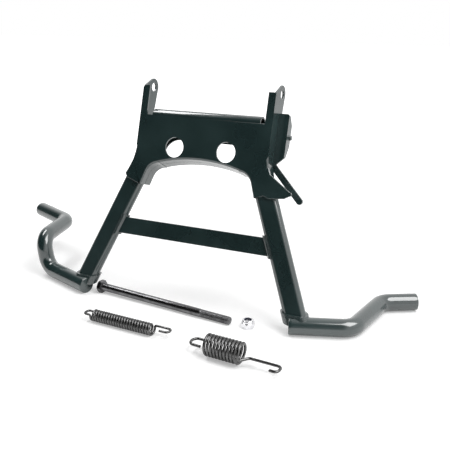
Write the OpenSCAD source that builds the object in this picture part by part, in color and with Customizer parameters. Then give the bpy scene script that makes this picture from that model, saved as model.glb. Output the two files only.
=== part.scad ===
// Welded centre stand for a family motorbike, standing on its own feet,
// with its pivot bolt, lock nut and two return springs laid out in front of it.
// Millimetres, +Z up, the floor at Z = 0, +Y away from the front of the stand.
// The welded frame is drawn upright in its own plane and then leant back by lean_angle.

/* [Stance] */
// Angle by which the stand leans back on its feet
lean_angle = 18.3; // [15:0.1:21]

/* [Pressed plates] */
// Thickness of the pressed sheet
sheet_t = 3; // [2:0.25:4]
// Half of the width over the two ears
half_width = 105.5; // [98:0.5:115]
// Depth of the shell that the front and rear plates make
shell_depth = 27; // [24:0.5:30]
// Height of the plates' top edge along the stand
plate_top = 285; // [278:0.5:292]
// Height of the plates from their lowest corner to their top edge
plate_h = 104; // [101:0.5:108]
// How far below the top edge the sides begin to flare out
flare_down = 40; // [33:1:47]
// How far above the lowest corner the flare is widest
flare_up = 14; // [11:0.5:17]
// How far each side flares out
flare_out = 13.5; // [10:0.5:17]

/* [Arch] */
// How far the crown of the arch between the legs is below the plates' top edge
arch_down = 59; // [56:0.5:63]
// Radius of the arch's gently curved crown
crown_r = 240; // [200:5:300]
// Radius of the arch's shoulders
shoulder_r = 22; // [18:0.5:26]
// Half of the distance between the shoulder centres
shoulder_x = 64; // [60:0.5:67]
// Splay of the arch's two sides
arch_splay = 19; // [14:0.5:24]
// How far the arch's flange drops towards the back
arch_drop = 6; // [3:0.5:8]
// Depth at which the front and rear flanges meet
seam_depth = 13; // [10:0.5:16]

/* [Lightening holes] */
// Diameter of the two holes in the front plate
hole_d = 29.4; // [24:0.2:32]
// Half of the distance between the two holes
hole_x = 41.3; // [36:0.5:46]
// How far the two holes are below the plates' top edge
hole_down = 44.7; // [37:0.1:46]
// How far the top of the rear plate's opening is below the plates' top edge
window_down = 31; // [25:0.5:35]
// Corner radius of the rear plate's opening
window_r = 25; // [15:1:28]
// Half of the width of the rear plate's opening
window_x = 70; // [60:1:76]

/* [Ears] */
// Width of the front flange on each ear
ear_flange = 11; // [8:0.5:16]
// Height of the ear's front flange above the plates' top edge
ear_h = 44; // [37:0.5:49]
// Depth of the ear's side web
ear_depth = 36; // [33:0.5:42]
// Radius of the lug round the pivot bore
lug_r = 13; // [11:0.5:14]
// Height of the pivot axis above the plates' top edge
pivot_rise = 46; // [41:0.5:53]
// Depth of the pivot axis behind the front face
pivot_back = 26; // [22:0.5:28]
// Clearance of the pivot bore on its bolt
pivot_clearance = 0.8; // [0.2:0.1:1.2]

/* [Top tube] */
// Wall of the cross tube behind the top edge
top_tube_wall = 2.5; // [1.5:0.25:4]
// Gap between each end of the cross tube and the ear's web
top_tube_gap = 16; // [10:0.5:24]

/* [Legs] */
// Width of the flat-oval leg tube
leg_w = 31.5; // [28:0.5:34]
// Depth of the flat-oval leg tube
leg_d = 15; // [13:0.5:18]
// Wall of the leg tube
leg_wall = 2; // [1.5:0.25:3]
// Splay of each leg
leg_splay = 22.15; // [20:0.05:24]
// Where the leg's axis would meet the floor, from the middle
leg_reach = 182.3; // [180:0.1:186]
// How far the leg tube reaches up into the shell from the plates' lowest corner
leg_in = 21; // [17:0.5:22]

/* [Crossbar] */
// Height of the crossbar's section
bar_h = 25; // [20:0.5:30]
// Depth of the crossbar's section
bar_d = 11; // [8:0.5:12]
// Wall of the crossbar
bar_wall = 2; // [1.5:0.25:3]
// Height of the crossbar's middle along the stand
bar_up = 116; // [105:0.5:140]

/* [Feet] */
// Diameter of the foot's round bar
foot_d = 25; // [22:0.5:28]
// Bend radius of the foot's axis
foot_bend = 24; // [20:0.5:24.5]
// Height by which the rider's tang is cranked up from the left foot
tang_rise = 50; // [50:0.5:60]

/* [Spring bracket] */
// How far the spring bracket stands out from the right ear
bracket_out = 15.5; // [13:0.5:20]
// Height of the bracket's top above the plates' top edge
bracket_up = 19; // [13:0.5:23]
// Height of the bracket along the stand
bracket_h = 74; // [64:1:74]
// Thickness of the bracket
bracket_t = 4; // [3:0.25:5]
// Depth of the bracket's return behind its face
bracket_return = 13; // [10:0.5:18]
// Diameter of the spring's hook pin
pin_d = 7; // [5:0.25:9]
// How far the hook pin is below the bracket's top
pin_down = 32; // [22:0.5:42]
// Length of the hook pin outside the bracket
pin_out = 3.5; // [2:0.5:6]
// Length of the hook pin inside the bracket
pin_in = 9; // [6:0.5:10]

/* [Stop wing] */
// Width of the stop strap
strap_w = 9.5; // [7:0.5:12]
// Thickness of the stop strap
strap_t = 4; // [3:0.25:6]
// How far the right wing of the front plate reaches from the middle
wing_out = 146; // [140:0.5:150]

/* [Pivot bolt and nut] */
// Thread size of the pivot bolt
bolt_d = 12; // [10:0.5:12]
// Width across the flats of the bolt head and nut
hex_af = 18; // [17:0.5:20]
// Height of the bolt head
head_h = 7.5; // [6:0.5:9]
// Length of the bolt's threaded end
thread_len = 49; // [30:1:60]
// Height of the lock nut with its collar
nut_h = 12; // [10:0.5:15]
// Height of the lock nut's plain collar
collar_h = 3.5; // [2.5:0.25:5]
// Length of bolt past the ears and the nut
bolt_spare = 2; // [1:0.5:8]

/* [Springs] */
// Outer diameter of the long spring
long_od = 17.5; // [15:0.5:20]
// Wire of the long spring
long_wire = 3.4; // [2.5:0.1:3.6]
// Coils of the long spring
long_turns = 22; // [16:1:26]
// Outer diameter of the short spring
short_od = 30; // [26:0.5:34]
// Wire of the short spring
short_wire = 3.8; // [3:0.1:4]
// Coils of the short spring
short_turns = 10; // [8:1:12]
// Clear gap between neighbouring coils
coil_gap = 1; // [0.8:0.1:1.5]

/* [Welds] */
// Leg length of the weld beads
bead = 3; // [2:0.25:4]

/* [Hidden] */
$fn = 48;

black = [0.11, 0.13, 0.13];
zinc = [0.82, 0.83, 0.85];
dark_steel = [0.30, 0.30, 0.31];
nylon = [0.12, 0.14, 0.2];
eps = 0.01;
// A straight bar enters a bend by lap, and the bend is thicker by seam, so that they fuse cleanly
lap = 0.4;
seam = 0.03;
// Reach of the boxes that cut the legs, more than any half of the stand
room = 400;

// Heights along the stand
plate_bottom = plate_top - plate_h;
flare_start = plate_top - flare_down;
flare_low = plate_bottom + flare_up;
arch_top = plate_top - arch_down;
hole_up = plate_top - hole_down;
window_top = plate_top - window_down;
ear_top = plate_top + ear_h;
pivot_up = plate_top + pivot_rise;
leg_top = plate_bottom + leg_in;
bracket_top = plate_top + bracket_up;
pin_up = bracket_top - pin_down;

// Arch: the crown's centre, and the shoulders, which are tangent to it
crown_z = arch_top - crown_r;
shoulder_z = crown_z + sqrt(pow(crown_r - shoulder_r, 2) - pow(shoulder_x, 2));
crown_edge = atan2(shoulder_z - crown_z, shoulder_x);

// Flare: the radius of the hollow that runs from flare_start to flare_low
flare_h = flare_start - flare_low;
flare_r = (flare_h * flare_h + flare_out * flare_out) / (2 * flare_out);

// Places shared by several pieces
inner_x = half_width - sheet_t;
// Ends of the plates' lower edge and inner ends of the feet, from the middle
corner_x = half_width - 13.5;
foot_x = leg_reach - 17.8;
rear_t = shell_depth - sheet_t;
leg_mid_t = sheet_t + leg_d / 2;
foot_r = foot_d / 2;
hex_r = hex_af / 2 / cos(30);
pivot_bore = bolt_d + pivot_clearance;
bolt_len = 2 * half_width + nut_h + bolt_spare;
thread_d = bolt_d - 0.4;
tip_h = 1.5;
collar_r = hex_af * 0.46;
insert_r = collar_r - 1;
insert_h = collar_h - 1;

// Axes of the feet on the floor: inner end, bend, bend, outer end
right_path = [[foot_x, 9.5, foot_r], [foot_x + 82, 37, foot_r], [foot_x + 101.5, 133, foot_r],
    [foot_x + 147.5, 157, foot_r]];
tang_z = foot_r + tang_rise;
left_path = [[-foot_x, 6, foot_r], [-foot_x - 101.5, 41, foot_r], [-foot_x - 110.5, 44, tang_z],
    [-foot_x - 128.5, 132, tang_z], [-foot_x - 212.5, 168, tang_z]];

// Middle of the floor space that the stand and the loose hardware take up: the origin
middle = [-32.07, 35.34];

// Where the loose hardware lies
bolt_at = [15 - foot_x, 20];
bolt_turn = -4.8;
nut_at = [bolt_at[0] + bolt_len + 31.5, bolt_at[1] - 15];
long_at = [-101, -67];
long_turned = -2.4;
short_at = [88, -86];
short_turned = -4;

function unit(v) = v / norm(v);

// Moves the origin to the middle of the floor space
module from_centre() {
    translate([-middle[0], -middle[1], 0]) children();
}

// Leans the upright drawing of the welded frame back on its feet
module in_frame() {
    rotate([-lean_angle, 0, 0]) children();
}

// A flat outline in the stand's plane, extruded from depth t0 to depth t1
module pressed(t0, t1) {
    translate([0, t1, 0]) rotate([90, 0, 0]) linear_extrude(t1 - t0) children();
}

// A flat outline seen from the side, extruded from x0 to x1
module side_on(x0, x1) {
    translate([x0, 0, 0]) rotate([90, 0, 90]) linear_extrude(x1 - x0) children();
}

module both_sides() {
    children();
    mirror([1, 0]) children();
}

// Puts the origin at o with the given axes
module placed(o, x, y, z) {
    multmatrix([[x[0], y[0], z[0], o[0]], [x[1], y[1], z[1], o[1]],
        [x[2], y[2], z[2], o[2]], [0, 0, 0, 1]]) children();
}

module rod(a, b, r) {
    z = unit(b - a);
    h = abs(z[2]) < 0.9 ? [0, 0, 1] : [0, 1, 0];
    x = unit(cross(h, z));
    placed(a, x, cross(z, x), z) cylinder(h = norm(b - a), r = r);
}

// The length that a bend takes from each straight beside corner b
function bend_reach(a, b, c, bend_r) =
    let (u = unit(a - b), v = unit(c - b)) bend_r * tan((180 - acos(u * v)) / 2);

module elbow(a, b, c, bend_r, r) {
    u = unit(a - b);
    v = unit(c - b);
    half = acos(u * v) / 2;
    centre = b + unit(u + v) * bend_r / sin(half);
    from = unit(b + u * bend_reach(a, b, c, bend_r) - centre);
    to = unit(b + v * bend_reach(a, b, c, bend_r) - centre);
    z = unit(cross(from, to));
    placed(centre, from, cross(z, from), z)
        rotate_extrude(angle = 180 - 2 * half) translate([bend_r, 0]) circle(r + seam);
}

// A round bar along a path of corners; bends gives the bend radius at each inner corner,
// and each straight laps a little into the bend beside it
module bent_bar(path, bends, r) {
    last = len(path) - 1;
    for (i = [0:last - 1]) {
        a = path[i];
        b = path[i + 1];
        cut_a = i == 0 ? 0 : bend_reach(path[i - 1], a, b, bends[i - 1]);
        cut_b = i == last - 1 ? 0 : bend_reach(a, b, path[i + 2], bends[i]);
        lap_a = i == 0 ? 0 : lap;
        lap_b = i == last - 1 ? 0 : lap;
        rod(a + unit(b - a) * (cut_a - lap_a), b - unit(b - a) * (cut_b - lap_b), r);
        if (i > 0) elbow(path[i - 1], a, b, bends[i - 1], r);
    }
}

// Outline of the arch's opening, grown outwards by grow
module arch_2d(grow = 0) {
    side = shoulder_r + grow;
    low = plate_bottom - 20;
    tangent = [shoulder_x + side * cos(arch_splay), shoulder_z + side * sin(arch_splay)];
    foot_x = tangent[0] + (tangent[1] - low) * tan(arch_splay);
    intersection() {
        translate([0, crown_z]) circle(crown_r + grow, $fn = 96);
        translate([-shoulder_x, shoulder_z]) square([2 * shoulder_x, crown_r]);
    }
    both_sides() {
        translate([shoulder_x, shoulder_z]) circle(side);
        polygon([[0, shoulder_z + side / 2], [shoulder_x, shoulder_z], tangent, [foot_x, low],
            [0, low]]);
    }
}

// Outline of the plates, with each edge moved in by inset
module plate_2d(inset = 0) {
    x = half_width - inset;
    wide = half_width + flare_out - inset;
    difference() {
        polygon([[corner_x, plate_bottom], [wide - 3.5, plate_bottom + 8], [wide, flare_low],
            [wide, flare_start], [x, flare_start], [x, plate_top],
            [-x, plate_top], [-x, flare_start], [-wide, flare_start], [-wide, flare_low],
            [-wide + 3.5, plate_bottom + 8], [-corner_x, plate_bottom]]);
        both_sides() translate([half_width + flare_r, flare_start])
            circle(flare_r + inset, $fn = 96);
    }
}

// The arch's opening carried through the shell, dropping towards the back
module arch_tunnel(grow = 0) {
    translate([0, 0, arch_top]) rotate([-atan2(arch_drop, shell_depth), 0, 0])
        translate([0, 0, -arch_top]) pressed(-2 * shell_depth, 2 * shell_depth) arch_2d(grow);
}

// What the tunnel and its flange take up between depths t0 and t1
module arch_core(t0, t1) {
    intersection() {
        arch_tunnel(sheet_t);
        translate([-half_width, t0, plate_bottom]) cube([2 * half_width, t1 - t0, plate_h]);
    }
}

// Side web of an ear, seen from the side
module ear_side_2d() {
    difference() {
        union() {
            polygon([[sheet_t / 2, flare_start], [shell_depth, flare_start],
                [shell_depth, plate_top - 20], [ear_depth, plate_top + 18],
                [pivot_back + lug_r * cos(20), pivot_up - lug_r * sin(20)],
                [pivot_back, pivot_up], [pivot_back - lug_r * sin(40), pivot_up + lug_r * cos(40)],
                [sheet_t / 2, ear_top]]);
            translate([pivot_back, pivot_up]) circle(lug_r);
        }
        translate([pivot_back, pivot_up]) circle(d = pivot_bore);
    }
}

// Front flange of an ear
module ear_front_2d() {
    corner = 4;
    x0 = half_width - ear_flange;
    translate([x0, plate_top - 5]) square([ear_flange, ear_top - plate_top + 5 - corner]);
    translate([x0, ear_top - corner - eps]) square([ear_flange - corner, corner + eps]);
    translate([half_width - corner, ear_top - corner]) circle(corner);
}

// Pointed wing low on the right
module wing_2d() {
    tip = 3;
    tip_z = plate_bottom + 11;
    root_x = half_width - 10;
    neck_x = half_width + 8;
    difference() {
        union() {
            polygon([[root_x, plate_bottom + 45], [half_width + 2, plate_bottom + 45],
                [neck_x, plate_bottom + 34], [wing_out - tip, tip_z + tip], [wing_out - tip, tip_z - tip],
                [wing_out - 10, plate_bottom + 4], [neck_x, plate_bottom + 1.5],
                [root_x, plate_bottom + 9]]);
            translate([wing_out - tip, tip_z]) circle(tip);
        }
        arch_2d(sheet_t);
    }
}

// Front plate: face, two lightening holes, side flanges, ears and the right wing
module front_plate() {
    from_centre() color(black) in_frame() {
        difference() {
            union() {
                pressed(0, sheet_t) {
                    plate_2d();
                    both_sides() ear_front_2d();
                    wing_2d();
                }
                arch_core(sheet_t / 2, seam_depth);
            }
            arch_tunnel();
            pressed(-1, sheet_t + 1) both_sides() translate([hole_x, hole_up]) circle(d = hole_d);
        }
        pressed(sheet_t / 2, rear_t) intersection() {
            difference() {
                plate_2d();
                plate_2d(sheet_t);
            }
            both_sides() translate([inner_x - 3, leg_top + 3])
                square([40, flare_start - leg_top]);
        }
        side_on(inner_x, half_width) ear_side_2d();
        side_on(-half_width, -inner_x) ear_side_2d();
    }
}

// Rear plate: a taller window than the front, and its half of the arch's flange
module window_2d() {
    both_sides() translate([window_x - window_r, window_top - window_r]) circle(window_r);
    translate([-window_x + window_r, plate_bottom])
        square([2 * (window_x - window_r), window_top - plate_bottom]);
    translate([-window_x, plate_bottom])
        square([2 * window_x, window_top - window_r - plate_bottom]);
}

module rear_plate() {
    from_centre() color(black) in_frame() difference() {
        union() {
            pressed(rear_t, shell_depth) difference() {
                plate_2d(sheet_t);
                window_2d();
            }
            arch_core(seam_depth, shell_depth);
        }
        arch_tunnel();
    }
}

// Cross tube held between the plates, half of it above their top edge
module top_tube() {
    r = (shell_depth - 2 * sheet_t) / 2;
    reach = inner_x - top_tube_gap;
    from_centre() color(black) in_frame() translate([-reach, sheet_t + r, plate_top + 1])
        rotate([0, 90, 0]) difference() {
            cylinder(h = 2 * reach, r = r);
            translate([0, 0, -1]) cylinder(h = 2 * reach + 2, r = r - top_tube_wall);
        }
}

// Flat-oval section of a leg, grown by grow
module leg_2d(grow = 0) {
    flat = (leg_w - leg_d) / 2;
    for (s = [-1, 1]) translate([s * flat, 0]) circle(leg_d / 2 + grow);
    square([2 * flat, leg_d + 2 * grow], center = true);
}

// Straight stretch of the right leg along its axis, down past the floor
module leg_bar(grow = 0) {
    intersection() {
        in_frame() translate([leg_reach, leg_mid_t, 0]) rotate([0, -leg_splay, 0])
            translate([0, 0, -20]) linear_extrude(leg_top * 1.3) leg_2d(grow);
        in_frame() translate([0, -room / 8, -room / 4]) cube([room, room / 2, leg_top + room / 4]);
    }
}

// The straight inner run of a foot, which the leg and its weld are coped to
module foot_bar(path) {
    rod(path[0], path[1], foot_r);
}

module leg(side, path) {
    from_centre() color(black) difference() {
        mirror([side < 0 ? 1 : 0, 0, 0]) difference() {
            leg_bar();
            leg_bar(-leg_wall);
            in_frame() arch_core(-1, shell_depth);
        }
        foot_bar(path);
        translate([-room, -room / 4, -room / 4]) cube([2 * room, room, room / 4 + foot_r]);
    }
}

module left_leg() {
    leg(-1, left_path);
}

module right_leg() {
    leg(1, right_path);
}

// Rectangular crossbar, coped to the legs
module bar_box(grow = 0) {
    in_frame() translate([-leg_reach, leg_mid_t - bar_d / 2 - grow, bar_up - bar_h / 2 - grow])
        cube([2 * leg_reach, bar_d + 2 * grow, bar_h + 2 * grow]);
}

module between_legs(inset = 0) {
    x_low = leg_reach - (bar_up - bar_h) * tan(leg_splay) - inset;
    x_high = leg_reach - (bar_up + bar_h) * tan(leg_splay) - inset;
    in_frame() pressed(-50, 80) polygon([[-x_low, bar_up - bar_h], [x_low, bar_up - bar_h],
        [x_high, bar_up + bar_h], [-x_high, bar_up + bar_h]]);
}

module crossbar() {
    from_centre() color(black) difference() {
        intersection() {
            difference() {
                bar_box();
                bar_box(-bar_wall);
            }
            between_legs();
        }
        leg_bar();
        mirror([1, 0, 0]) leg_bar();
    }
}

module bar_weld(side) {
    from_centre() color(black) mirror([side < 0 ? 1 : 0, 0, 0]) difference() {
        intersection() {
            bar_box(bead);
            leg_bar(bead);
            between_legs((leg_w - leg_d) / 2 / cos(leg_splay) + 2.5);
        }
        leg_bar();
        bar_box();
    }
}

module left_bar_weld() {
    bar_weld(-1);
}

module right_bar_weld() {
    bar_weld(1);
}

// Feet of bent round bar
module foot(path) {
    bends = [for (i = [2:len(path) - 1]) foot_bend];
    from_centre() color(black) bent_bar(path, bends, foot_r);
}

module left_foot() {
    foot(left_path);
}

module right_foot() {
    foot(right_path);
}

module foot_weld(side, path) {
    from_centre() color(black) difference() {
        intersection() {
            mirror([side < 0 ? 1 : 0, 0, 0]) leg_bar(bead);
            translate([-room, -room / 4, foot_r + 2]) cube([2 * room, room, foot_r - 2 + bead]);
        }
        mirror([side < 0 ? 1 : 0, 0, 0]) leg_bar();
        foot_bar(path);
    }
}

module left_foot_weld() {
    foot_weld(-1, left_path);
}

module right_foot_weld() {
    foot_weld(1, right_path);
}

// Spring bracket on the outside of the right ear
module spring_bracket() {
    x1 = half_width + bracket_out;
    low = bracket_top - bracket_h;
    from_centre() color(black) in_frame() {
        pressed(shell_depth - bracket_t, shell_depth) polygon([[half_width, low],
            [half_width + 3, low], [x1, low + 12], [x1, bracket_top - 2],
            [x1 - 2, bracket_top], [half_width, bracket_top]]);
        difference() {
            side_on(x1 - bracket_t, x1) polygon([[shell_depth - bracket_t / 2, low + 12],
                [shell_depth + 2, low + 12], [shell_depth + bracket_return, low + 30],
                [shell_depth + bracket_return, bracket_top - 14],
                [shell_depth + 2, bracket_top - 2], [shell_depth - bracket_t / 2, bracket_top - 2]]);
            hook_pin_bar();
        }
    }
}

module hook_pin_bar() {
    x1 = half_width + bracket_out;
    translate([x1 - bracket_t - pin_in, shell_depth + bracket_return / 2 + 1, pin_up])
        rotate([0, 90, 0]) cylinder(h = pin_in + bracket_t + pin_out, d = pin_d);
}

module hook_pin() {
    from_centre() color(black) in_frame() hook_pin_bar();
}

// Stop strap on the back of the rear plate, pointing down and out
module stop_strap() {
    a = [half_width - 8.5, plate_bottom + 57];
    b = [wing_out + 4, plate_bottom + 3.5];
    turn = atan2(b[1] - a[1], b[0] - a[0]);
    from_centre() color(black) in_frame() pressed(shell_depth, shell_depth + strap_t) translate(a)
        rotate(turn) {
            translate([0, -strap_w / 2]) square([norm(b - a), strap_w]);
            circle(d = strap_w);
            translate([norm(b - a), 0]) circle(d = strap_w);
        }
}

// Hexagon with chamfered corners at its outer face
module hexagon(h) {
    intersection() {
        cylinder(h = h, r = hex_r, $fn = 6);
        cylinder(h = h, r1 = hex_r + h * 1.7 - 1.5, r2 = hex_r * 0.93);
    }
}

// Pivot bolt lying on its head's flat and its tip
module pivot_bolt() {
    dip = asin((hex_af - bolt_d) / 2 / bolt_len);
    from_centre() color(dark_steel) translate([bolt_at[0], bolt_at[1], hex_af / 2 + head_h * sin(dip)])
        rotate([0, 0, bolt_turn])
        rotate([0, 90 + dip, 0]) {
            translate([0, 0, head_h]) rotate([180, 0, 0]) rotate(30) hexagon(head_h);
            translate([0, 0, head_h]) cylinder(h = bolt_len - thread_len, d = bolt_d);
            translate([0, 0, head_h + bolt_len - thread_len])
                cylinder(h = thread_len - tip_h, d = thread_d);
            translate([0, 0, head_h + bolt_len - tip_h])
                cylinder(h = tip_h, d1 = thread_d, d2 = bolt_d - 2 * tip_h);
        }
}

// Lock nut lying flat, with its plain collar and soft insert
module lock_nut() {
    from_centre() color(zinc) translate([nut_at[0], nut_at[1], 0]) rotate(12) difference() {
        union() {
            hexagon(nut_h - collar_h);
            translate([0, 0, nut_h - collar_h - eps]) cylinder(h = collar_h + eps, r = collar_r);
        }
        translate([0, 0, -1]) cylinder(h = nut_h + 2, d = bolt_d - 1.2);
        translate([0, 0, nut_h - collar_h]) cylinder(h = insert_h, r = insert_r);
    }
}

module nut_insert() {
    from_centre() color(nylon) translate([nut_at[0], nut_at[1], nut_h - collar_h]) difference() {
        cylinder(h = insert_h, r = insert_r);
        translate([0, 0, -1]) cylinder(h = collar_h, d = bolt_d - 1.6);
    }
}

// Half a coil as a tilted half ring from angle 0, lapping into its neighbours by over degrees
module half_coil(mean_r, wire_r, pitch, over) {
    tilt = atan2(pitch / 2, 2 * mean_r);
    translate([0, 0, pitch / 4]) rotate([0, tilt, 0]) rotate(-over)
        rotate_extrude(angle = 180 + 2 * over) translate([mean_r / cos(tilt), 0]) circle(wire_r);
}

// Coils along +Z from angle 0, ending half a turn past the full turns
module coils(turns, mean_r, wire_r, pitch) {
    for (i = [0:turns]) translate([0, 0, i * pitch])
        half_coil(mean_r, wire_r + seam, pitch, 0);
    for (i = [0:turns - 1]) translate([0, 0, (i + 0.5) * pitch]) mirror([1, 0, 0]) mirror([0, 1, 0])
        half_coil(mean_r, wire_r, pitch, 0.5);
}

// Tension spring lying along +X; each hook's path starts at the coil's end, in the hooks' plane
module spring(turns, od, wire, near_hook, near_bends, far_hook, far_bends) {
    pitch = wire + coil_gap;
    r = (od - wire) / 2;
    body = (turns + 0.5) * pitch;
    b = wire * 0.8;
    rise = b + 0.5;
    rotate([0, 90, 0]) rotate([0, 0, -90]) coils(turns, r, wire / 2, pitch);
    bent_bar([[0, -r, 0], [0, -r, rise], for (p = near_hook) [-p[0], p[1] - r, rise]],
        concat([b], near_bends), wire / 2);
    bent_bar([[body, r, 0], [body, r, rise], for (p = far_hook) [body + p[0], r + p[1], rise]],
        concat([b], far_bends), wire / 2);
}

// Height of the axis of a spring that lies on the floor
function lying(od, wire) =
    let (r = (od - wire) / 2, tilt = atan2((wire + coil_gap) / 2, 2 * r)) r / cos(tilt) + wire / 2 + seam;

module long_spring() {
    d = long_od - long_wire;
    up = lying(long_od, long_wire);
    from_centre() color(zinc) translate([long_at[0], long_at[1], up]) rotate(long_turned)
        spring(long_turns, long_od, long_wire, [[11, 0], [11, d * 0.75], [3, d * 0.75]], [4, 4],
            [[27, 0], [27, -d * 0.75], [13, -d * 0.75]], [5, 5]);
}

module short_spring() {
    d = short_od - short_wire;
    up = lying(short_od, short_wire);
    from_centre() color(zinc) translate([short_at[0], short_at[1], up]) rotate(short_turned)
        rotate([180, 0, 0])
            spring(short_turns, short_od, short_wire, [[26, 0], [26, d * 0.65], [8, d * 0.65]],
                [8, 8], [[10, -d * 0.5], [54, -d * 0.5], [54, 14 - d * 0.5], [43, 14 - d * 0.5]],
                [4, 5.5, 5.5]);
}

front_plate();
rear_plate();
top_tube();
left_leg();
right_leg();
crossbar();
left_foot();
right_foot();
left_foot_weld();
right_foot_weld();
left_bar_weld();
right_bar_weld();
spring_bracket();
hook_pin();
stop_strap();
pivot_bolt();
lock_nut();
nut_insert();
long_spring();
short_spring();
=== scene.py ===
"""Looks of a welded motorcycle centre stand with its pivot bolt, lock nut and return springs.

The file is laid out as a Blender add-on and is run as a script.
The drawing's sizes are in millimetres on its own floor: +Z up, +Y away from the stand's front.
Blender's own lengths are in metres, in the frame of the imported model.
"""

import math

import bmesh
import bpy
import numpy as np
from bpy.props import FloatProperty, FloatVectorProperty, IntProperty, PointerProperty
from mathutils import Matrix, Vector


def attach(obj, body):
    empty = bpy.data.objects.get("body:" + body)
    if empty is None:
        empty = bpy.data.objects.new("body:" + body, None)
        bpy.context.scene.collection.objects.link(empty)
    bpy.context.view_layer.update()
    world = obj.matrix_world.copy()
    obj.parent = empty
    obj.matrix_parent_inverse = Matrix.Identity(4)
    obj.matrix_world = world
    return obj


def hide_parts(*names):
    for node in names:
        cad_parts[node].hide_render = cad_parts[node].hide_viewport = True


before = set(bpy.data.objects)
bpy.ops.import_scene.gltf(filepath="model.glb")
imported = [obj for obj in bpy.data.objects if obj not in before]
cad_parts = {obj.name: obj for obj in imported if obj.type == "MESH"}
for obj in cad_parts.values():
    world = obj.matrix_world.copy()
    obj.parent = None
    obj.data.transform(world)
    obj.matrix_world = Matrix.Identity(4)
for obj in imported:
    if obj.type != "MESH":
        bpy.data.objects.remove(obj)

bl_info = {
    "name": "Centre Stand Dresser",
    "version": (1, 1, 0),
    "blender": (4, 5, 0),
    "location": "View3D > Sidebar > Centre Stand",
    "description": "Dresses a packed centre stand with its painted, plated and oiled surfaces",
    "category": "Object",
}

MM = 0.001
TAU = 2 * math.pi

# The drawing: lean of the stand, middle of its floor space and the front plate's main sizes
LEAN = math.radians(18.3)
MIDDLE = np.array([-32.07, 35.34, 0.0])
HALF_WIDTH = 105.5
PLATE_BOTTOM = 181.0
ARCH_TOP = 226.0
ARCH_LOW_X = 92.5
HOLE_X, HOLE_UP, HOLE_R = 41.3, 240.3, 14.7

# Heights between which the plate's outer edges are folds, and what the lugs' sharp front takes up
FOLD_LOW, FOLD_TOP = 207.0, 324.0
LUG_LOW, LUG_DEPTH = 323.0, 4.0

# How far a point may lie off the line that picks it
SLACK = 0.3

# Copies of CAD nodes: merging distance in metres, and what counts as flat, as an edge and as a crease
MERGE = 2e-6
FLAT_TURN, EDGE_TURN, CREASE_TURN = math.radians(1.5), math.radians(40), math.radians(45)

# What counts as a crease on a new surface
NEW_CREASE_TURN = math.radians(38)

# Steps of a rounded edge and of a rounded fold
EDGE_SEGMENTS, FOLD_SEGMENTS = 3, 4

# Rounding of each sheared edge as a share of the setting, and of the edges of the round holes
EDGE_SHARES = {"rear_plate": 1.0, "spring_bracket": 1.0, "stop_strap": 1.0, "crossbar": 2.0,
               "left_leg": 0.8, "right_leg": 0.8, "top_tube": 0.8, "hook_pin": 0.8}
HOLE_SHARE = 0.3
WELDS = ("left_foot_weld", "right_foot_weld", "left_bar_weld", "right_bar_weld")

# Feet: radius of the bar, radius and step of its bends, rounding of its ends, corners of its axis
FOOT_R = 12.5
FOOT_BEND = 24.0
FOOT_STEP, FOOT_CHAMFER = 1.6, 1.5
TANG_UP = FOOT_R + 50
RIGHT_PATH = [(164.5, 9.5, FOOT_R), (246.5, 37, FOOT_R), (266, 133, FOOT_R), (312, 157, FOOT_R)]
LEFT_PATH = [(-164.5, 6, FOOT_R), (-266, 41, FOOT_R), (-275, 44, TANG_UP), (-293, 132, TANG_UP),
             (-377, 168, TANG_UP)]

# Pivot bolt and lock nut, and the flat of each one's chamfered hexagon as a share of its width
BOLT_AT, BOLT_TURN = (-149.5, 20.0), -4.8
BOLT_R, THREAD_R, THREAD_LEN = 6.0, 5.8, 49.0
HEX_AF, HEAD_H = 18.0, 7.5
BOLT_FACE, NUT_FACE = 0.94, 0.95
NUT_AT, NUT_TURN = (107.0, 5.0), 12.0
NUT_H, COLLAR_H, COLLAR_R = 12.0, 3.5, HEX_AF * 0.46
BORE_R = 5.4
BOLT_LEN = 2 * HALF_WIDTH + NUT_H + 2

# Half of the turn from one flat of a hexagon to the next, which is also the slope of its chamfer
HEX_TURN = math.radians(30)

# Bolt and nut: points round them, steepness of the thread's flanks and what its flat crest takes
THREAD_POINTS = 72
THREAD_STEEP, THREAD_CREST = 1.25, 0.15

# Each spring: outer diameter, wire, full turns, place and turn on the floor
LONG_OD, LONG_WIRE, LONG_TURNS, LONG_AT, LONG_TURNED = 17.5, 3.4, 22, (-101.0, -67.0), -2.4
SHORT_OD, SHORT_WIRE, SHORT_TURNS, SHORT_AT, SHORT_TURNED = 30.0, 3.8, 10, (88.0, -86.0), -4.0

# Both springs: gap between turns, bend to the hook as a share of the wire, hook's lift, floor's gap
COIL_GAP, HOOK_BEND, HOOK_LIFT, FLOOR_GAP = 1.0, 0.8, 0.5, 0.03

# Both springs: points of a turn, points round the wire, step of the hooks, rounding of the wire's ends
COIL_STEPS, WIRE_POINTS, HOOK_STEP, WIRE_CHAMFER = 40, 16, 0.5, 0.4

# Directions that no foot and no spring runs along, to start the rings round their paths
FOOT_REF = (0.6, 0.6, 0.52)
WIRE_REF = (1, 1, 1)

# Enamel: scales of its ripple and tone, darkest and palest tone, spread of its roughness
PAINT_SCALES = (420.0, 14.0)
PAINT_TONES = (0.85, 1.2)
PAINT_SPREAD = (-0.05, 0.07)
SKIN_ROUGHNESS = 0.07

# Each enamel: strength and height of its ripple
PAINTS = {"black_enamel": (0.2, 0.0001), "weld_enamel": (1.0, 0.003)}

# Each steel: setting of its colour, roughness, scales of its scratches and mottle, spread of its tone
STEELS = {
    "spring_wire": ("wire_colour", 0.24, (1500.0, 260.0), (0.7, 1.12)),
    "bolt_steel": ("bolt_colour", 0.25, (1200.0, 160.0), (0.7, 1.12)),
    "bright_plate": ("nut_colour", 0.16, (900.0, 240.0), (0.9, 1.04)),
}

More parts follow.
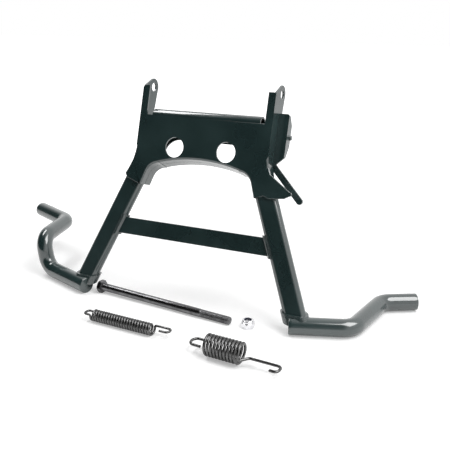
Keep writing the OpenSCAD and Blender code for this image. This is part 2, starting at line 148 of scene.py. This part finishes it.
# Every steel: spread of its roughness, strength and depth of its scratches
STEEL_SPREAD = (0.75, 1.35)
SCRATCH_BUMP, SCRATCH_DEPTH = 0.25, 0.00004

# Nylon: scales of its grain and mottle, darkest and palest colour, spread of its roughness
NYLON_SCALES = (900.0, 200.0)
NYLON_DARK, NYLON_PALE = (0.012, 0.015, 0.03, 1), (0.025, 0.035, 0.07, 1)
NYLON_SPREAD = (0.4, 0.6)

# Camera: place on the drawing's floor, looking down, roll and turn in degrees, width of the sensor
CAMERA_AT = (412.6, -749.0, 432.3)
CAMERA_DOWN, CAMERA_ROLL, CAMERA_TURN = 19.09, 0.04, 24.29
SENSOR = 36.0

# Studio, in metres: half of the floor, and the place and size of each soft box
FLOOR_HALF = 6.0
KEY_AT, KEY_SIZE = (0.99, -0.08, 1.39), (1.1, 1.1)
STRIP_AT, STRIP_SIZE = (-0.78, 0.13, 1.48), (0.9, 0.35)

# Floor, where white is 1: its colour, and its lift near the stand, far from it and for gloss
FLOOR_WHITE, LIFT_NEAR, LIFT_FAR, LIFT_GLOSS = 0.8, 0.3, 1.0, 0.15

# Metres from the stand's middle between which the floor's lift grows
LIFT_REACH = (0.35, 1.0)

# World, where white is 1: its walls, their dark part and its light on rough surfaces
WORLD_WHITE, WORLD_DARK, WORLD_DIFFUSE = 1.0, 0.015, 0.45

# Direction of the dark part, and the cosines from it between which the walls grow dark
DARK_TOWARDS = (-0.55, -0.65, 0.48)
DARK_REACH = (0.2, 0.66)


class PaintSettings(bpy.types.PropertyGroup):
    """The welded stand: its black paint, its rounded edges and its round bars."""
    colour: FloatVectorProperty(
        name="Paint colour", description="Colour of the black enamel", subtype="COLOR",
        size=4, min=0, max=1, default=(0.0105, 0.026, 0.026, 1))
    gloss: FloatProperty(
        name="Paint roughness", description="Roughness of the enamel under its clear skin",
        default=0.3, min=0, max=1)
    skin: FloatProperty(
        name="Skin index", description="Refractive index of the enamel's clear skin",
        default=1.85, min=1, max=2.4)
    edge_round: FloatProperty(
        name="Edge rounding", description="Radius of the sheared edges",
        default=0.0006, min=0.0001, max=0.002, subtype="DISTANCE", unit="LENGTH")
    fold_round: FloatProperty(
        name="Fold rounding", description="Outer radius of the sheet's folds",
        default=0.0025, min=0.001, max=0.005, subtype="DISTANCE", unit="LENGTH")
    bead_round: FloatProperty(
        name="Bead rounding", description="Radius of the weld beads' edges",
        default=0.001, min=0.0005, max=0.002, subtype="DISTANCE", unit="LENGTH")
    around: IntProperty(
        name="Points around", description="Points around each round bar",
        default=48, min=12, max=96)


class HardwareSettings(bpy.types.PropertyGroup):
    """The bolt, nut and springs."""
    wire_colour: FloatVectorProperty(
        name="Spring wire", description="Colour of the springs' oiled wire", subtype="COLOR",
        size=4, min=0, max=1, default=(0.15, 0.15, 0.15, 1))
    bolt_colour: FloatVectorProperty(
        name="Bolt steel", description="Colour of the bolt's dark steel", subtype="COLOR",
        size=4, min=0, max=1, default=(0.17, 0.17, 0.175, 1))
    nut_colour: FloatVectorProperty(
        name="Nut plating", description="Colour of the nut's bright plating", subtype="COLOR",
        size=4, min=0, max=1, default=(0.86, 0.86, 0.88, 1))
    thread_pitch: FloatProperty(
        name="Thread pitch", description="Pitch of the bolt's thread",
        default=0.00175, min=0.001, max=0.003, subtype="DISTANCE", unit="LENGTH")
    thread_depth: FloatProperty(
        name="Thread depth", description="Depth of the bolt's thread",
        default=0.0009, min=0.0003, max=0.0015, subtype="DISTANCE", unit="LENGTH")


class StageSettings(bpy.types.PropertyGroup):
    """Camera and light."""
    lens: FloatProperty(
        name="Focal length", description="Focal length of the camera, in millimetres",
        default=52.0, min=20, max=200)
    key_glow: FloatProperty(
        name="Key light", description="Brightness of the large soft box, where white is 1",
        default=5.0, min=0, max=40)
    strip_glow: FloatProperty(
        name="Strip light", description="Brightness of the narrow box, where white is 1",
        default=8.0, min=0, max=40)


def floor_point(p):
    """Millimetres of the drawing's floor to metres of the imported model."""
    return (np.atleast_2d(np.asarray(p, float)) - MIDDLE) * MM


def in_stand(points):
    """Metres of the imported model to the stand's own frame: across, behind the face, up along it."""
    x, y, z = (np.atleast_2d(points) / MM + MIDDLE).T
    return x, y * math.cos(LEAN) - z * math.sin(LEAN), y * math.sin(LEAN) + z * math.cos(LEAN)


def put_mesh(name, verts, faces):
    """Puts vertex and face arrays into a new mesh object at the origin."""
    mesh = bpy.data.meshes.new(name)
    mesh.from_pydata(np.asarray(verts).tolist(), [], faces)
    mesh.polygons.foreach_set("use_smooth", np.ones(len(mesh.polygons), bool))
    mesh.set_sharp_from_angle(angle=NEW_CREASE_TURN)
    mesh.update()
    piece = bpy.data.objects.new(name, mesh)
    bpy.context.scene.collection.objects.link(piece)
    return piece


def grid_faces(rows, around, ring=False):
    """Faces of rows by around points that close round: a pole at each end, or a ring of rows."""
    i = np.arange(rows if ring else rows - 1)[:, None]
    j = np.arange(around)[None, :]
    k = (j + 1) % around
    here, there = i * around, (i + 1) % rows * around
    quads = np.stack([here + j, here + k, there + k, there + j], -1).reshape(-1, 4).tolist()
    if ring:
        return quads
    top = (rows - 1) * around
    caps = np.concatenate([
        np.stack([np.full(around, rows * around), k[0], j[0]], -1),
        np.stack([np.full(around, rows * around + 1), top + j[0], top + k[0]], -1)])
    return quads + caps.tolist()


def swept(path, radius, ref, around):
    """A round bar: p(u, v) = path(u) + radius(u) (N cos v + B sin v), N = T x ref and B = T x N."""
    path = np.asarray(path, float)
    tangent = np.gradient(path, axis=0)
    tangent /= np.linalg.norm(tangent, axis=1, keepdims=True)
    normal = np.cross(tangent, ref)
    normal /= np.linalg.norm(normal, axis=1, keepdims=True)
    side = np.cross(tangent, normal)
    v = np.arange(around) * TAU / around
    ring = normal[:, None] * np.cos(v)[None, :, None] + side[:, None] * np.sin(v)[None, :, None]
    radius = np.broadcast_to(radius, len(path))
    points = path[:, None] + ring * radius[:, None, None]
    return np.concatenate([points.reshape(-1, 3), path[:1], path[-1:]]), grid_faces(len(path), around)


def turned_piece(profile, ring=False):
    """A piece turned about X: p(u, v) = (a(u, v), -r(u, v) sin v, r(u, v) cos v).

    The profile is an array of a and r for each row u and each of the points round it.
    """
    a, r = profile
    rows, around = a.shape
    v = np.arange(around) * TAU / around
    points = np.stack([a, -r * np.sin(v), r * np.cos(v)], -1).reshape(-1, 3)
    if not ring:
        points = np.concatenate([points, [[a[0, 0], 0, 0], [a[-1, 0], 0, 0]]])
    return points, grid_faces(rows, around, ring)


def profile_of(*pairs):
    """A profile from pairs of distance along the axis and radius, each one value or one per angle."""
    return np.stack([[np.broadcast_to(value, THREAD_POINTS) for value in pair] for pair in pairs], 1)


def hexagon():
    """Distance from the axis to a hexagon's side at each angle, flat side down.

    It is half the width across flats over the cosine of the angle from the nearest flat.
    """
    v = np.arange(THREAD_POINTS) * TAU / THREAD_POINTS
    return HEX_AF / 2 / np.cos((v + HEX_TURN) % (2 * HEX_TURN) - HEX_TURN)


def thread_wave(a, pitch):
    """Depth of a thread, 0 to 1: a triangle wave of a / pitch less the turn's share, clipped flat."""
    v = np.arange(THREAD_POINTS) / THREAD_POINTS
    wave = np.abs(2 * ((a / pitch - v) % 1) - 1)
    return np.clip(THREAD_STEEP * wave - THREAD_CREST, 0, 1)


def rounded_path(corners, bends, step):
    """Points along straight runs joined by arcs that are tangent to them, of the given bend radii."""
    c = np.asarray(corners, float)
    runs, at = [], c[0]
    for i, bend in enumerate(bends, 1):
        u = (c[i - 1] - c[i]) / np.linalg.norm(c[i - 1] - c[i])
        w = (c[i + 1] - c[i]) / np.linalg.norm(c[i + 1] - c[i])
        half = math.acos(np.clip(u @ w, -1, 1)) / 2
        centre = c[i] + (u + w) / np.linalg.norm(u + w) * bend / math.sin(half)
        start = c[i] + u * bend / math.tan(half)
        turn = math.pi - 2 * half
        angle = np.linspace(0, turn, max(4, int(turn * bend / step) + 1))[:, None]
        straight = np.linspace(0, 1, max(2, int(np.linalg.norm(start - at) / (3 * step))), endpoint=False)
        runs.append(at + (start - at) * straight[:, None])
        arc = centre + (start - centre) * np.cos(angle) - u * bend * np.sin(angle)
        runs.append(arc[:-1])
        at = arc[-1]
    straight = np.linspace(0, 1, max(2, int(np.linalg.norm(c[-1] - at) / (3 * step))))
    runs.append(at + (c[-1] - at) * straight[:, None])
    return np.concatenate(runs)


def with_round_ends(path, r, cut):
    """Rounds the edges of both ends of a bar: returns the path and the radius at each point."""
    path = np.asarray(path, float)
    a = (path[1] - path[0]) / np.linalg.norm(path[1] - path[0])
    b = (path[-1] - path[-2]) / np.linalg.norm(path[-1] - path[-2])
    angle = np.linspace(0, TAU / 4, 4)[:, None]
    near = path[0] + a * cut * (1 - np.cos(angle))
    far = path[-1] - b * cut * (1 - np.cos(angle[::-1]))
    drop = cut * (1 - np.sin(angle[:, 0]))
    radius = np.concatenate([r - drop, np.full(len(path) - 2, r), r - drop[::-1]])
    return np.concatenate([near, path[1:-1], far]), radius


def on_floor(points, at, angle, up, dip=0.0):
    """Dips points about Y, turns them about Z, both in degrees, and moves them to a floor place."""
    d, a = math.radians(dip), math.radians(angle)
    dipped = np.array([[math.cos(d), 0, math.sin(d)], [0, 1, 0], [-math.sin(d), 0, math.cos(d)]])
    turned = np.array([[math.cos(a), -math.sin(a), 0], [math.sin(a), math.cos(a), 0], [0, 0, 1]])
    return floor_point(points @ (turned @ dipped).T + [at[0], at[1], up])


def placed(name, points, faces, node, finish):
    """Makes a finished piece that rides on the part and stands for a CAD node."""
    piece = put_mesh(name, points, faces)
    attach(piece, "root")
    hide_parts(node)
    finish_with(finish, piece)


def fold_edges(mesh):
    """Masks of the front plate's edges: its lip and outer folds, its round holes and its lugs' front."""
    verts = np.empty(len(mesh.vertices) * 3)
    mesh.vertices.foreach_get("co", verts)
    ends = np.empty(len(mesh.edges) * 2, int)
    mesh.edges.foreach_get("vertices", ends)
    x, t, s = (c.reshape(-1, 2) for c in in_stand(verts.reshape(-1, 3)[ends]))
    face = np.all(t < SLACK, axis=1)
    hole = np.all(np.hypot(np.abs(x) - HOLE_X, s - HOLE_UP) < HOLE_R + SLACK, axis=1)
    lip = np.all((np.abs(x) < ARCH_LOW_X) & (s < ARCH_TOP + SLACK), axis=1) & ~hole
    lip &= np.any(s > PLATE_BOTTOM + SLACK, axis=1)
    fold = np.all((np.abs(x) > HALF_WIDTH - SLACK) & (s > FOLD_LOW) & (s < FOLD_TOP), axis=1)
    lug = np.any((s > LUG_LOW) & (t < LUG_DEPTH), axis=1)
    return face & (lip | fold) & ~lug, hole, lug


def softened(node, name, width, finish, fold_width=0.0):
    """A copy of a CAD node with its doubles merged, its flat faces joined and its edges rounded."""
    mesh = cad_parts[node].data.copy()
    bm = bmesh.new()
    bm.from_mesh(mesh)
    bmesh.ops.remove_doubles(bm, verts=bm.verts, dist=MERGE)
    bmesh.ops.dissolve_limit(bm, angle_limit=FLAT_TURN, verts=bm.verts, edges=bm.edges)
    sharp = [edge.calc_face_angle(0) > EDGE_TURN for edge in bm.edges]
    bm.to_mesh(mesh)
    bm.free()
    mesh.name = name
    mesh.materials.clear()
    mesh.polygons.foreach_set("use_smooth", np.ones(len(mesh.polygons), bool))
    mesh.set_sharp_from_angle(angle=CREASE_TURN)
    weight = np.where(sharp, width / max(width, fold_width), 0.0)
    if fold_width:
        folds, holes, lugs = fold_edges(mesh)
        weight = np.select([folds, holes, lugs], [1.0, weight * HOLE_SHARE, 0.0], weight)
    mesh.attributes.new("bevel_weight_edge", "FLOAT", "EDGE").data.foreach_set("value", weight)
    piece = bpy.data.objects.new(name, mesh)
    bpy.context.scene.collection.objects.link(piece)
    bevel = piece.modifiers.new("rounded_edges", "BEVEL")
    bevel.width = max(width, fold_width)
    bevel.segments = FOLD_SEGMENTS if fold_width else EDGE_SEGMENTS
    bevel.limit_method = "WEIGHT"
    bevel.use_clamp_overlap = not fold_width
    piece.modifiers.new("flat_faces", "WEIGHTED_NORMAL").keep_sharp = True
    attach(piece, "root")
    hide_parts(node)
    finish_with(finish, piece)


def link(tree, a, b):
    """Joins two shader sockets."""
    tree.links.new(a, b)


def noise(tree, scale, detail):
    """Noise over the object's own coordinates, at a scale given by a socket."""
    coord = tree.nodes.new("ShaderNodeTexCoord")
    node = tree.nodes.new("ShaderNodeTexNoise")
    node.inputs["Detail"].default_value = detail
    link(tree, coord.outputs["Object"], node.inputs["Vector"])
    link(tree, scale, node.inputs["Scale"])
    return node.outputs["Fac"]


def two_noises_group(name, fine, broad):
    """A node group of a fine and a broad noise, each given as its label, scale and detail."""
    group = bpy.data.node_groups.new(name, "ShaderNodeTree")
    given, result = group.nodes.new("NodeGroupInput"), group.nodes.new("NodeGroupOutput")
    for size, (label, scale, detail) in (("Fine Scale", fine), ("Broad Scale", broad)):
        socket = group.interface.new_socket(size, in_out="INPUT", socket_type="NodeSocketFloat")
        socket.default_value = scale
        group.interface.new_socket(label, in_out="OUTPUT", socket_type="NodeSocketFloat")
        link(group, noise(group, given.outputs[size], detail), result.inputs[label])
    return group


def ramp(tree, value, low, high, at=(0.35, 0.65)):
    """A colour ramp between two colours."""
    node = tree.nodes.new("ShaderNodeValToRGB")
    for element, position, colour in zip(node.color_ramp.elements, at, (low, high)):
        element.position = position
        element.color = colour
    link(tree, value, node.inputs["Fac"])
    return node.outputs["Color"]


def new_material(name, group, scales):
    """A material whose shader is fed by one of the shared node groups, at a fine and a broad scale."""
    material = bpy.data.materials.new(name)
    material.use_nodes = True
    tree = material.node_tree
    node = tree.nodes.new("ShaderNodeGroup")
    node.node_tree = group
    node.inputs["Fine Scale"].default_value, node.inputs["Broad Scale"].default_value = scales
    return material, tree, tree.nodes["Principled BSDF"], node.outputs


def grey(value):
    """A grey colour with an alpha of 1."""
    return (value, value, value, 1)


def shade(colour, k):
    """A colour made k times as bright."""
    return (colour[0] * k, colour[1] * k, colour[2] * k, 1)


def bumped(tree, shader, height, strength, distance):
    """Raises a height on the shader's surface."""
    bump = tree.nodes.new("ShaderNodeBump")
    bump.inputs["Strength"].default_value = strength
    bump.inputs["Distance"].default_value = distance
    link(tree, height, bump.inputs["Height"])
    link(tree, bump.outputs["Normal"], shader.inputs["Normal"])


def enamel(name, group, strength, distance):
    """Gloss black enamel with a slightly uneven tone over a ripple of the given strength and height."""
    look = bpy.context.scene.stand_paint
    material, tree, shader, made = new_material(name, group, PAINT_SCALES)
    dark, pale = (shade(look.colour, share) for share in PAINT_TONES)
    low, high = (grey(look.gloss + more) for more in PAINT_SPREAD)
    link(tree, ramp(tree, made["Tone"], dark, pale), shader.inputs["Base Color"])
    link(tree, ramp(tree, made["Tone"], low, high), shader.inputs["Roughness"])
    shader.inputs["Coat Weight"].default_value = 1.0
    shader.inputs["Coat Roughness"].default_value = SKIN_ROUGHNESS
    shader.inputs["Coat IOR"].default_value = look.skin
    bumped(tree, shader, made["Ripple"], strength, distance)
    return material


def steel(name, group, colour, roughness, scales, tones):
    """Plated or oiled steel: metallic, with mottled colour and fine scratches."""
    material, tree, shader, made = new_material(name, group, scales)
    dark, pale = (shade(colour, share) for share in tones)
    low, high = (grey(roughness * share) for share in STEEL_SPREAD)
    link(tree, ramp(tree, made["Mottle"], dark, pale), shader.inputs["Base Color"])
    link(tree, ramp(tree, made["Scratch"], low, high), shader.inputs["Roughness"])
    shader.inputs["Metallic"].default_value = 1.0
    bumped(tree, shader, made["Scratch"], SCRATCH_BUMP, SCRATCH_DEPTH)
    return material


def nylon(name, group):
    """Dark nylon of the nut's insert."""
    material, tree, shader, made = new_material(name, group, NYLON_SCALES)
    low, high = (grey(value) for value in NYLON_SPREAD)
    link(tree, ramp(tree, made["Mottle"], NYLON_DARK, NYLON_PALE), shader.inputs["Base Color"])
    link(tree, ramp(tree, made["Scratch"], low, high), shader.inputs["Roughness"])
    return material


def finish_with(material, piece):
    """Gives every material slot of a piece the same finish."""
    if not piece.data.materials:
        piece.data.materials.append(material)
    for slot in piece.material_slots:
        slot.material = material


def finish_named(name):
    """One of the finishes, made on first use."""
    made = bpy.data.materials.get(name)
    if made:
        return made
    look = bpy.context.scene.stand_hardware
    groups = bpy.data.node_groups
    peel = groups.get("orange_peel") or two_noises_group(
        "orange_peel", ("Ripple", 400.0, 2.0), ("Tone", 14.0, 3.0))
    drawn = groups.get("drawn_metal") or two_noises_group(
        "drawn_metal", ("Scratch", 900.0, 4.0), ("Mottle", 120.0, 5.0))
    if name in PAINTS:
        return enamel(name, peel, *PAINTS[name])
    if name in STEELS:
        setting, *values = STEELS[name]
        return steel(name, drawn, getattr(look, setting), *values)
    return nylon(name, drawn)


class STAND_OT_plates(bpy.types.Operator):
    """Rounds the edges of the plates, legs, crossbar, bracket and strap and paints them"""
    bl_idname = "centre_stand.plates"
    bl_label = "Plates and legs"

    def execute(self, context):
        look = context.scene.stand_paint
        paint = finish_named("black_enamel")
        softened("front_plate", "front_plate_painted", look.edge_round, paint,
                 fold_width=look.fold_round)
        for node, share in EDGE_SHARES.items():
            softened(node, node + "_painted", look.edge_round * share, paint)
        return {"FINISHED"}


class STAND_OT_feet(bpy.types.Operator):
    """Sweeps the two bent feet of round bar"""
    bl_idname = "centre_stand.feet"
    bl_label = "Feet"

    def execute(self, context):
        around = context.scene.stand_paint.around
        for side, corners in (("left", LEFT_PATH), ("right", RIGHT_PATH)):
            path = rounded_path(corners, [FOOT_BEND] * (len(corners) - 2), FOOT_STEP)
            path, radius = with_round_ends(path, FOOT_R, FOOT_CHAMFER)
            points, faces = swept(path, radius, FOOT_REF, around)
            placed(side + "_foot_bar", floor_point(points), faces, side + "_foot",
                   finish_named("black_enamel"))
        return {"FINISHED"}


class STAND_OT_welds(bpy.types.Operator):
    """Rounds the weld beads and paints them over their ripples"""
    bl_idname = "centre_stand.welds"
    bl_label = "Welds"

    def execute(self, context):
        width = context.scene.stand_paint.bead_round
        for node in WELDS:
            softened(node, node + "_bead", width, finish_named("weld_enamel"))
        return {"FINISHED"}


def spring_path(turns, od, wire, near, near_bends, far, far_bends):
    """Centre line of a tension spring along +X: hook, bend, helix, bend, hook.

    The helix is x = pitch a / tau, y = -r cos a, z = -r sin a, and each hook lies in a level plane.
    """
    pitch = wire + COIL_GAP
    r = (od - wire) / 2
    wound = turns + 0.5
    body = wound * pitch
    bend = wire * HOOK_BEND
    rise = bend + HOOK_LIFT
    a = np.linspace(0, wound * TAU, int(wound * COIL_STEPS) + 1)
    helix = np.stack([pitch * a / TAU, -r * np.cos(a), -r * np.sin(a)], -1)
    near_path = rounded_path([(0, -r, 0), (0, -r, rise)] + [(-x, y - r, rise) for x, y in near],
                             [bend] + near_bends, HOOK_STEP)
    far_path = rounded_path([(body, r, 0), (body, r, rise)] + [(body + x, r + y, rise) for x, y in far],
                            [bend] + far_bends, HOOK_STEP)
    return np.concatenate([near_path[:0:-1], helix, far_path[1:]])


def axis_height(od, wire):
    """Height of the axis of a spring that lies on the floor, as in the drawing's tilted half rings."""
    mean = od - wire
    tilt = math.atan2((wire + COIL_GAP) / 2, mean)
    return mean / 2 / math.cos(tilt) + wire / 2 + FLOOR_GAP


class STAND_OT_springs(bpy.types.Operator):
    """Winds the two tension springs from true helices"""
    bl_idname = "centre_stand.springs"
    bl_label = "Springs"

    def execute(self, context):
        hook = (LONG_OD - LONG_WIRE) * 0.75
        near = [(11, 0), (11, hook), (3, hook)]
        far = [(27, 0), (27, -hook), (13, -hook)]
        path = spring_path(LONG_TURNS, LONG_OD, LONG_WIRE, near, [4, 4], far, [5, 5])
        self.wind("long_spring", path, LONG_OD, LONG_WIRE, LONG_AT, LONG_TURNED)
        mean = SHORT_OD - SHORT_WIRE
        hook, middle = mean * 0.65, mean * 0.5
        near = [(26, 0), (26, hook), (8, hook)]
        far = [(10, -middle), (54, -middle), (54, 14 - middle), (43, 14 - middle)]
        path = spring_path(SHORT_TURNS, SHORT_OD, SHORT_WIRE, near, [8, 8], far, [4, 5.5, 5.5])
        self.wind("short_spring", path * [1, -1, -1], SHORT_OD, SHORT_WIRE, SHORT_AT, SHORT_TURNED)
        return {"FINISHED"}

    def wind(self, node, path, od, wire, at, turned):
        """Sweeps the wire along its path and lays it on the floor."""
        path, radius = with_round_ends(path, wire / 2, WIRE_CHAMFER)
        points, faces = swept(path, radius, WIRE_REF, WIRE_POINTS)
        placed(node + "_wire", on_floor(points, at, turned, axis_height(od, wire)), faces,
               node, finish_named("spring_wire"))


def bolt_profile(pitch, depth):
    """Profile of the bolt: its chamfered hexagon head, shank, thread and tip.

    The thread's radius falls from its crest by depth times the thread's wave, which fades in at
    the shank over two pitches, and the tip's cone cuts it off.
    """
    reach = hexagon()
    face_r = HEX_AF / 2 * BOLT_FACE
    cone = (reach - face_r) * math.tan(HEX_TURN)
    end = HEAD_H + BOLT_LEN
    thread_at = end - THREAD_LEN
    head = profile_of(
        (0.3, face_r * 0.55), (0, face_r * 0.62), (0, face_r), (cone, reach), (HEAD_H - 0.25, reach),
        (HEAD_H, reach - 0.25), (HEAD_H, BOLT_R + 0.7), (HEAD_H + 0.2, BOLT_R + 0.2),
        (HEAD_H + 0.8, BOLT_R), (HEAD_H + BOLT_LEN / 3, BOLT_R), (thread_at - 0.6, BOLT_R))
    a = np.arange(thread_at, end - 0.15, pitch / 10)[:, None]
    cut = depth * thread_wave(a, pitch) * np.minimum(1, (a - thread_at) / (2 * pitch))
    r = np.minimum(THREAD_R - cut, THREAD_R - 1.3 + (end - a) * 0.9)
    thread = np.stack([np.broadcast_to(a, r.shape), r])
    return np.concatenate([head, thread, profile_of((end, THREAD_R - 1.5))], 1)


def nut_profile(pitch, depth):
    """Profile of the lock nut from its lower face over its hexagon, collar and lip and down its bore."""
    reach = hexagon()
    face_r = HEX_AF / 2 * NUT_FACE
    cone = (reach - face_r) * math.tan(HEX_TURN)
    top = NUT_H - COLLAR_H
    turn = np.linspace(0, TAU / 4, 6)
    rim = zip(NUT_H - 1.2 + 1.2 * np.sin(turn), COLLAR_R - 1.6 + 1.6 * np.cos(turn))
    outside = profile_of(
        (0, BORE_R + 0.8), (0, face_r), (cone, reach), (top - cone * 1.3, reach),
        (top, face_r + 0.1), (top + 0.05, COLLAR_R), *rim,
        (NUT_H, BORE_R + 0.7), (NUT_H - 0.3, BORE_R + 0.1), (NUT_H - 1, BORE_R + 0.05),
        (NUT_H - 1.02, COLLAR_R - 1), (top, COLLAR_R - 1), (top - 0.02, BORE_R))
    a = np.arange(top - 0.1, 0.9, -pitch / 8)[:, None]
    r = BORE_R + depth / 2 * thread_wave(a, pitch)
    return np.concatenate([outside, np.stack([np.broadcast_to(a, r.shape), r])], 1)


class STAND_OT_hardware(bpy.types.Operator):
    """Turns the pivot bolt with its thread and the lock nut round its insert"""
    bl_idname = "centre_stand.hardware"
    bl_label = "Bolt and nut"

    def execute(self, context):
        look = context.scene.stand_hardware
        pitch, depth = look.thread_pitch / MM, look.thread_depth / MM
        tilt = (HEX_AF / 2 - BOLT_R) / BOLT_LEN
        dip, up = math.degrees(math.asin(tilt)), HEX_AF / 2 + HEAD_H * tilt
        points, faces = turned_piece(bolt_profile(pitch, depth))
        placed("pivot_bolt_turned", on_floor(points, BOLT_AT, BOLT_TURN, up, dip), faces,
               "pivot_bolt", finish_named("bolt_steel"))
        points, faces = turned_piece(nut_profile(pitch, depth), ring=True)
        upright = points[:, [2, 1, 0]] * [-1, 1, 1]
        placed("lock_nut_turned", on_floor(upright, NUT_AT, NUT_TURN, 0), faces,
               "lock_nut", finish_named("bright_plate"))
        finish_with(finish_named("dark_nylon"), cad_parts["nut_insert"])
        return {"FINISHED"}


def soft_box(name, at, size, glow):
    """A soft box that looks at the stand: its power is pi times its area times its brightness."""
    lamp = bpy.data.lights.new(name, "AREA")
    lamp.shape = "RECTANGLE"
    lamp.size, lamp.size_y = size
    lamp.energy = math.pi * size[0] * size[1] * glow
    box = bpy.data.objects.new(name, lamp)
    box.location = at
    box.rotation_euler = (-Vector(at)).to_track_quat("-Z", "Y").to_euler()
    bpy.context.scene.collection.objects.link(box)


def ray_kind(tree, *kinds):
    """1 where the ray is of one of the given kinds."""
    path = tree.nodes.new("ShaderNodeLightPath")
    value = path.outputs[kinds[0]]
    for kind in kinds[1:]:
        either = tree.nodes.new("ShaderNodeMath")
        either.operation = "MAXIMUM"
        link(tree, value, either.inputs[0])
        link(tree, path.outputs[kind], either.inputs[1])
        value = either.outputs[0]
    return value


def mixed(tree, factor, low, high):
    """A colour that goes from low to high with factor; each is a colour or a socket."""
    node = tree.nodes.new("ShaderNodeMix")
    node.data_type = "RGBA"
    link(tree, factor, node.inputs["Factor"])
    sides = [socket for socket in node.inputs if socket.type == "RGBA"]
    for side, value in zip(sides, (low, high)):
        if isinstance(value, tuple):
            side.default_value = value
        else:
            link(tree, value, side)
    return next(socket for socket in node.outputs if socket.type == "RGBA")


def floor_material():
    """White floor that takes shadows, lifted towards white where camera, gloss or glass sees it."""
    material = bpy.data.materials.new("pale_floor")
    material.use_nodes = True
    tree = material.node_tree
    tree.nodes.remove(tree.nodes["Principled BSDF"])
    diffuse = tree.nodes.new("ShaderNodeBsdfDiffuse")
    diffuse.inputs["Color"].default_value = grey(FLOOR_WHITE)
    glow = tree.nodes.new("ShaderNodeEmission")
    coord = tree.nodes.new("ShaderNodeTexCoord")
    reach = tree.nodes.new("ShaderNodeVectorMath")
    reach.operation = "LENGTH"
    link(tree, coord.outputs["Object"], reach.inputs[0])
    lift = ramp(tree, reach.outputs["Value"], grey(LIFT_NEAR), grey(LIFT_FAR), LIFT_REACH)
    seen = mixed(tree, ray_kind(tree, "Is Camera Ray"), grey(0.0), lift)
    mirrored = ray_kind(tree, "Is Glossy Ray", "Is Transmission Ray")
    shown = mixed(tree, mirrored, seen, grey(LIFT_GLOSS))
    link(tree, shown, glow.inputs["Color"])
    add = tree.nodes.new("ShaderNodeAddShader")
    link(tree, diffuse.outputs[0], add.inputs[0])
    link(tree, glow.outputs[0], add.inputs[1])
    link(tree, add.outputs[0], tree.nodes["Material Output"].inputs["Surface"])
    return material


def studio_world():
    """A white studio, dark behind the photographer, whose light on rough surfaces is dimmed."""
    world = bpy.data.worlds.new("studio")
    world.use_nodes = True
    tree = world.node_tree
    coord = tree.nodes.new("ShaderNodeTexCoord")
    facing = tree.nodes.new("ShaderNodeVectorMath")
    facing.operation = "DOT_PRODUCT"
    facing.inputs[1].default_value = Vector(DARK_TOWARDS).normalized()
    link(tree, coord.outputs["Generated"], facing.inputs[0])
    walls = ramp(tree, facing.outputs["Value"], grey(WORLD_WHITE), grey(WORLD_DARK), DARK_REACH)
    lit = mixed(tree, ray_kind(tree, "Is Diffuse Ray"), walls, grey(WORLD_DIFFUSE))
    shown = mixed(tree, ray_kind(tree, "Is Camera Ray"), lit, grey(WORLD_WHITE))
    background = tree.nodes["Background"]
    link(tree, shown, background.inputs["Color"])
    background.inputs["Strength"].default_value = 1.0
    return world


class STAND_OT_stage(bpy.types.Operator):
    """Sets the pale floor, the soft boxes and the camera at the photograph's viewing angle"""
    bl_idname = "centre_stand.stage"
    bl_label = "Stage"

    def execute(self, context):
        scene = context.scene
        look = scene.stand_stage
        scene.view_settings.view_transform = "Standard"
        corners = np.array([(-1, -1, 0), (1, -1, 0), (1, 1, 0), (-1, 1, 0)]) * FLOOR_HALF
        floor = put_mesh("floor", corners, [(0, 1, 2, 3)])
        floor.data.materials.append(floor_material())
        scene.world = studio_world()
        soft_box("right_box", KEY_AT, KEY_SIZE, look.key_glow)
        soft_box("left_strip", STRIP_AT, STRIP_SIZE, look.strip_glow)
        camera = bpy.data.cameras.new("camera")
        camera.lens = look.lens
        camera.sensor_width = SENSOR
        viewer = bpy.data.objects.new("camera", camera)
        viewer.location = floor_point(CAMERA_AT)[0]
        viewer.rotation_euler = [math.radians(a) for a in (90 - CAMERA_DOWN, CAMERA_ROLL, CAMERA_TURN)]
        scene.collection.objects.link(viewer)
        scene.camera = viewer
        return {"FINISHED"}


class STAND_PT_panel(bpy.types.Panel):
    """Lists the steps that dress the centre stand"""
    bl_idname = "STAND_PT_panel"
    bl_label = "Centre Stand"
    bl_space_type = "VIEW_3D"
    bl_region_type = "UI"
    bl_category = "Centre Stand"

    def draw(self, context):
        layout = self.layout
        for group, kind in SETTINGS:
            settings = getattr(context.scene, group)
            for name in kind.__annotations__:
                layout.prop(settings, name)
        for step in STEPS:
            layout.operator(step.bl_idname)


STEPS = (STAND_OT_stage, STAND_OT_plates, STAND_OT_feet, STAND_OT_welds, STAND_OT_springs,
         STAND_OT_hardware)
SETTINGS = (("stand_paint", PaintSettings), ("stand_hardware", HardwareSettings),
            ("stand_stage", StageSettings))


def register():
    """Registers the settings, the steps and the panel."""
    for name, group in SETTINGS:
        bpy.utils.register_class(group)
        setattr(bpy.types.Scene, name, PointerProperty(type=group))
    for step in STEPS + (STAND_PT_panel,):
        bpy.utils.register_class(step)


def unregister():
    """Takes everything that register added out again."""
    for step in reversed(STEPS + (STAND_PT_panel,)):
        bpy.utils.unregister_class(step)
    for name, group in reversed(SETTINGS):
        delattr(bpy.types.Scene, name)
        bpy.utils.unregister_class(group)


def main():
    """Registers the add-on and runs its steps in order."""
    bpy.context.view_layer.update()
    register()
    for step in STEPS:
        group, name = step.bl_idname.split(".")
        getattr(getattr(bpy.ops, group), name)()
    bpy.context.view_layer.update()


if __name__ == "__main__":
    main()
